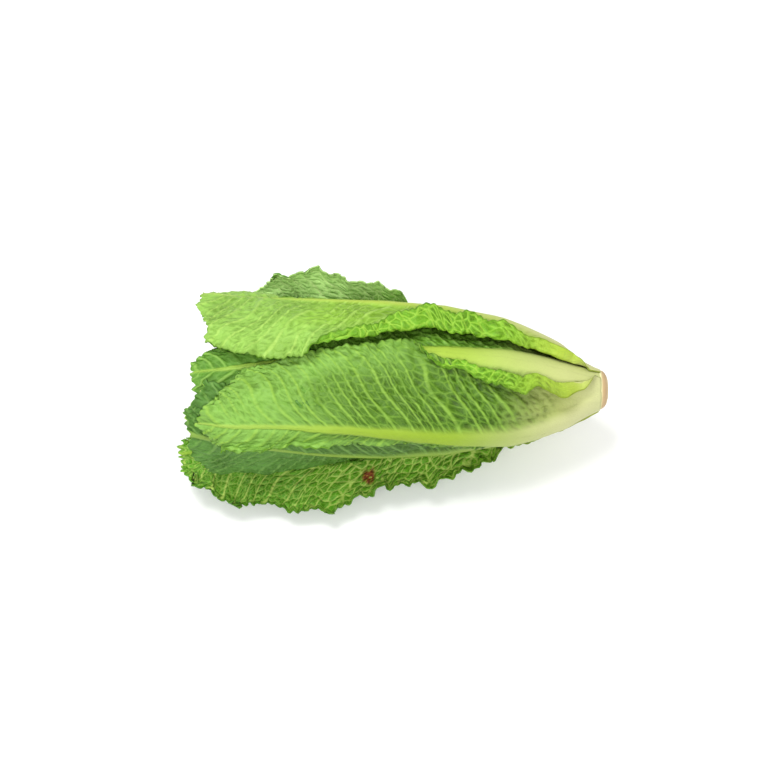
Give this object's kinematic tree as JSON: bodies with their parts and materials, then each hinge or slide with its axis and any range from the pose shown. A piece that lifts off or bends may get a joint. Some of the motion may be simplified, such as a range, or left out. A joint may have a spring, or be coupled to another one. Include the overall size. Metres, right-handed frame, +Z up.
{
  "type": "romaine lettuce head",
  "caption": "Romaine lettuce head lying on its side, with ruffled green leaves, pale midribs and a cut stem.",
  "frame": {"origin": "bottom centre of the bounding box, on the surface that the head lies on", "axes": "+X along the head towards the cut stem, -Y towards the side with the big front leaf, +Z up"},
  "size_m": [0.2898, 0.1548, 0.1198],
  "materials": {
    "outer_leaf": "satin",
    "middle_leaf": "satin",
    "heart_leaf": "satin",
    "stem": "matte"
  },
  "bodies": {
    "root": {"outer_leaf_1": "outer_leaf", "outer_leaf_2": "outer_leaf", "outer_leaf_3": "outer_leaf", "outer_leaf_4": "outer_leaf", "outer_leaf_5": "outer_leaf", "outer_leaf_6": "outer_leaf", "outer_leaf_7": "outer_leaf", "middle_leaf_1": "middle_leaf", "middle_leaf_2": "middle_leaf", "middle_leaf_3": "middle_leaf", "middle_leaf_4": "middle_leaf", "middle_leaf_5": "middle_leaf", "middle_leaf_6": "middle_leaf", "middle_leaf_7": "middle_leaf", "middle_leaf_8": "middle_leaf", "heart_leaf_1": "heart_leaf", "heart_leaf_2": "heart_leaf", "heart_leaf_3": "heart_leaf", "heart_leaf_4": "heart_leaf", "heart_leaf_5": "heart_leaf", "heart_leaf_6": "heart_leaf", "heart_leaf_7": "heart_leaf", "stem": "stem"}
  },
  "joints": []
}
